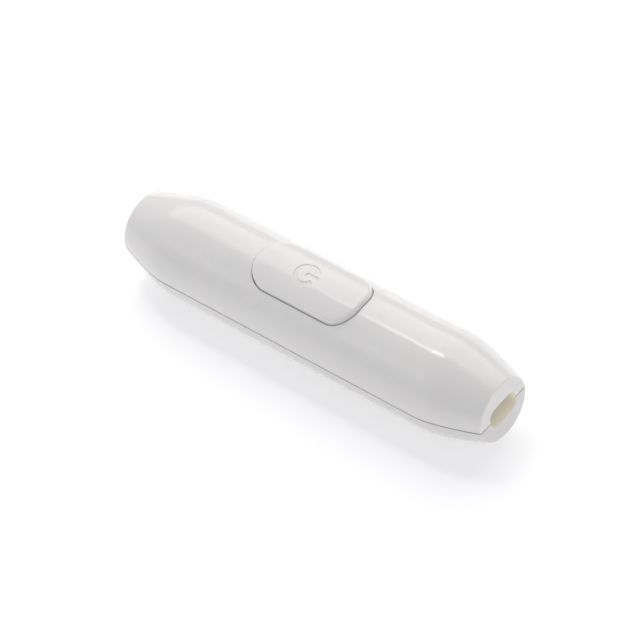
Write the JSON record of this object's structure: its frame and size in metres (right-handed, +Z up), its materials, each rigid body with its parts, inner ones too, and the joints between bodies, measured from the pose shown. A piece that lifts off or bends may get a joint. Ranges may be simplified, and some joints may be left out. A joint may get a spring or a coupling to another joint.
{
  "type": "in-line cord switch",
  "caption": "Spindle-shaped in-line switch for a flat flex, with a crowned oblong push button on top, a cord mouth in each end and a changeover rocker inside.",
  "frame": {"origin": "centre of the narrow flat foot under the middle of the housing, on the surface it rests on", "axes": "+X along the housing from one cord mouth to the other, +Z up through the push button, +Y across"},
  "size_m": [0.08, 0.0184, 0.0187],
  "materials": {
    "housing": "gloss",
    "button": "gloss",
    "inner_plastic": "matt",
    "rocker_plastic": "satin",
    "brass": "satin",
    "contact_silver": "satin",
    "screw_steel": "zinc plated",
    "pin_steel": "ground",
    "spring_steel": "drawn wire"
  },
  "bodies": {
    "root": {"lower_shell": "housing", "upper_shell": "housing", "housing_screws": "screw_steel", "clamp_screws_left": "screw_steel", "clamp_screws_right": "screw_steel", "live_terminal_screws": "screw_steel", "neutral_terminal_screws": "screw_steel", "cord_clamp_left": "inner_plastic", "cord_clamp_right": "inner_plastic", "contact_base": "inner_plastic", "detent_plunger": "rocker_plastic", "line_in_terminal": "brass", "line_out_terminal": "brass", "neutral_link": "brass", "fixed_contacts": "contact_silver", "rocker_axle": "pin_steel", "detent_spring": "spring_steel", "return_spring_left": "spring_steel", "return_spring_right": "spring_steel"},
    "button": {"push_button": "button", "pusher": "rocker_plastic", "pusher_pin": "pin_steel"},
    "rocker": {"rocker": "rocker_plastic", "contact_bridge": "brass", "moving_contacts": "contact_silver", "bridge_spring": "spring_steel"}
  },
  "joints": [
    {"name": "button_press", "type": "slide", "parent": "root", "child": "button", "axis": [0, 0, -1], "range_m": [0, 0.0016], "stiffness_N_per_m": 900, "springref_m": -0.002, "deforming": ["return_spring_left", "return_spring_right"]},
    {"name": "rocker_flip", "type": "hinge", "parent": "root", "child": "rocker", "pos_m": [0, 0, 0.0079], "axis": [0, 1, 0], "range_deg": [0, 20]}
  ],
  "couplings": [
    {"joint": "rocker_flip", "follows": "button_press", "rad_per_m": 218.1}
  ]
}
